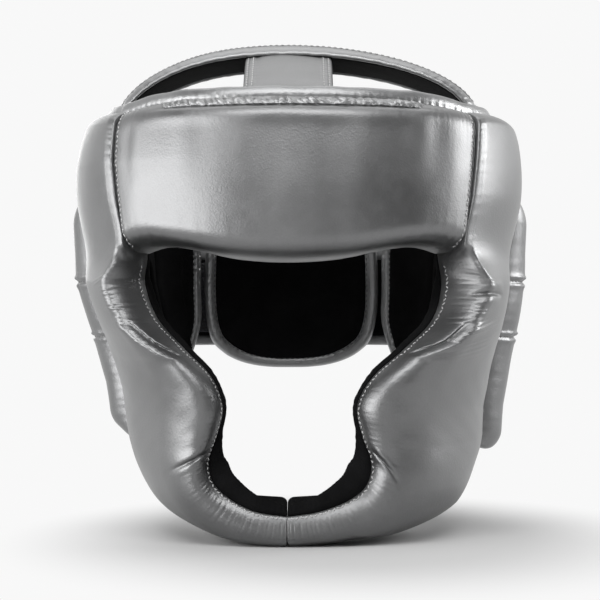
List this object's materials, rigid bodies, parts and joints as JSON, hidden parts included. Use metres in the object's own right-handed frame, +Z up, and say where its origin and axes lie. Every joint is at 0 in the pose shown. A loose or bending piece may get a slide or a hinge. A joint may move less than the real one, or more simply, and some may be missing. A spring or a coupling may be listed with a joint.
{
  "type": "boxing headguard",
  "caption": "Full-face boxing headguard with padded forehead, cheeks, chin bar and ear guards, a crown band, a hanging back pad and a rear closing strap.",
  "frame": {"origin": "centre of the neck opening, on the symmetry plane, level with the flat under the chin bar", "axes": "+Z up along the wearer's body, -Y the way the wearer faces, +X to the wearer's left"},
  "size_m": [0.2576, 0.2474, 0.2565],
  "materials": {
    "silver_leather": "satin metallic synthetic leather",
    "black_lining": "matte suede-like microfibre",
    "padding_foam": "closed-cell foam, hidden inside the covers",
    "loop_tape": "brushed loop pile",
    "hook_tape": "hook field"
  },
  "bodies": {
    "shell": {"forehead_cover": "silver_leather", "forehead_foam": "padding_foam", "forehead_lining": "black_lining", "left_side_cover": "silver_leather", "left_side_foam": "padding_foam", "left_side_lining": "black_lining", "right_side_cover": "silver_leather", "right_side_foam": "padding_foam", "right_side_lining": "black_lining", "left_ear_panel_cover": "silver_leather", "left_ear_panel_foam": "padding_foam", "left_ear_panel_lining": "black_lining", "right_ear_panel_cover": "silver_leather", "right_ear_panel_foam": "padding_foam", "right_ear_panel_lining": "black_lining", "left_ear_guard_cover": "silver_leather", "left_ear_guard_foam": "padding_foam", "right_ear_guard_cover": "silver_leather", "right_ear_guard_foam": "padding_foam", "top_binding": "silver_leather", "crown_cover": "silver_leather", "crown_foam": "padding_foam", "crown_lining": "black_lining", "crown_front_binding": "silver_leather", "crown_rear_binding": "silver_leather", "top_strap": "silver_leather"},
    "left_wing": {"left_wing_cover": "silver_leather", "left_wing_foam": "padding_foam", "left_wing_lining": "black_lining", "left_wing_binding": "silver_leather"},
    "right_wing": {"right_wing_cover": "silver_leather", "right_wing_foam": "padding_foam", "right_wing_lining": "black_lining", "right_wing_binding": "silver_leather", "right_wing_loop_patch": "loop_tape"},
    "rear_strap": {"rear_strap": "silver_leather", "rear_strap_lining": "black_lining", "rear_strap_binding": "silver_leather", "rear_strap_hook_patch": "hook_tape"},
    "back_pad": {"back_pad_cover": "silver_leather", "back_pad_foam": "padding_foam", "back_pad_lining": "black_lining", "back_pad_binding": "silver_leather", "back_pad_loop_patch": "loop_tape", "back_strap": "silver_leather", "back_strap_hook_patch": "hook_tape"}
  },
  "joints": [
    {"name": "rear_strap_peel", "type": "hinge", "parent": "left_wing", "child": "rear_strap", "pos_m": [0.0855, 0.0885, 0.1215], "axis": [0, 0, -1], "range_deg": [0, 130]},
    {"name": "left_wing_flex", "type": "hinge", "parent": "shell", "child": "left_wing", "pos_m": [0.1015, 0.0655, 0.13], "axis": [0, 0, -1], "range_deg": [0, 22]},
    {"name": "right_wing_flex", "type": "hinge", "parent": "shell", "child": "right_wing", "pos_m": [-0.1015, 0.0655, 0.13], "axis": [0, 0, 1], "range_deg": [0, 22]},
    {"name": "back_pad_swing", "type": "hinge", "parent": "shell", "child": "back_pad", "pos_m": [0, 0.036, 0.2503], "axis": [-1, 0, 0], "range_deg": [0, 20]}
  ],
  "couplings": [
    {"joint": "left_wing_flex", "follows": "rear_strap_peel", "ratio": 0.169},
    {"joint": "right_wing_flex", "follows": "rear_strap_peel", "ratio": 0.169}
  ]
}
